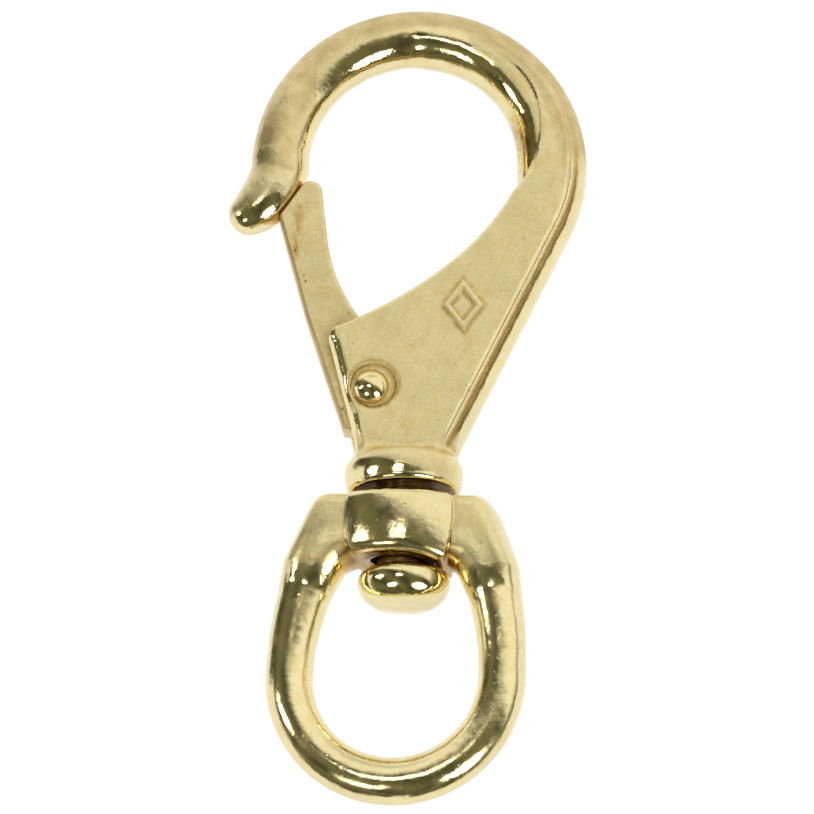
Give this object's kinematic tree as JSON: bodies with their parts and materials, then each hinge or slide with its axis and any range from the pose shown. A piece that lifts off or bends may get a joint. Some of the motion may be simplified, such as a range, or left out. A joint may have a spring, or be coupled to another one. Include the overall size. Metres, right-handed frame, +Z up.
{
  "type": "swivel-eye snap hook",
  "caption": "Cast brass boat snap: round bow with a nose, an inward-opening sprung gate on a riveted pin, and a loose swivelling oval eye below the collar.",
  "frame": {"origin": "the load seat on the inside of the bow, straight above the swivel's axis", "axes": "+Z up the swivel's axis towards the bow, -Y out of the face with the raised mark, -X towards the gate"},
  "size_m": [0.049, 0.016, 0.1126],
  "materials": {
    "cast_brass": "tumbled casting: satin flats, polished round edges",
    "gate_brass": "satin casting with fine pits",
    "polished_brass": "polished",
    "spring_bronze": "drawn wire",
    "eye_brass": "tumbled and polished casting"
  },
  "bodies": {
    "hook": {"hook_body": "cast_brass", "gate_rivet": "polished_brass", "gate_spring": "spring_bronze", "swivel_stud": "polished_brass"},
    "gate": {"gate": "gate_brass"},
    "eye": {"swivel_eye": "eye_brass"}
  },
  "joints": [
    {"name": "gate_hinge", "type": "hinge", "parent": "hook", "child": "gate", "pos_m": [-0.0044, 0, -0.048], "axis": [0, 1, 0], "range_deg": [0, 26], "stiffness_Nm_per_rad": 0.06, "springref_deg": -28.65, "deforming": ["gate_spring"]},
    {"name": "eye_swivel", "type": "hinge", "parent": "hook", "child": "eye", "pos_m": [0, 0, -0.0674], "axis": [0, 0, 1], "continuous": true}
  ]
}
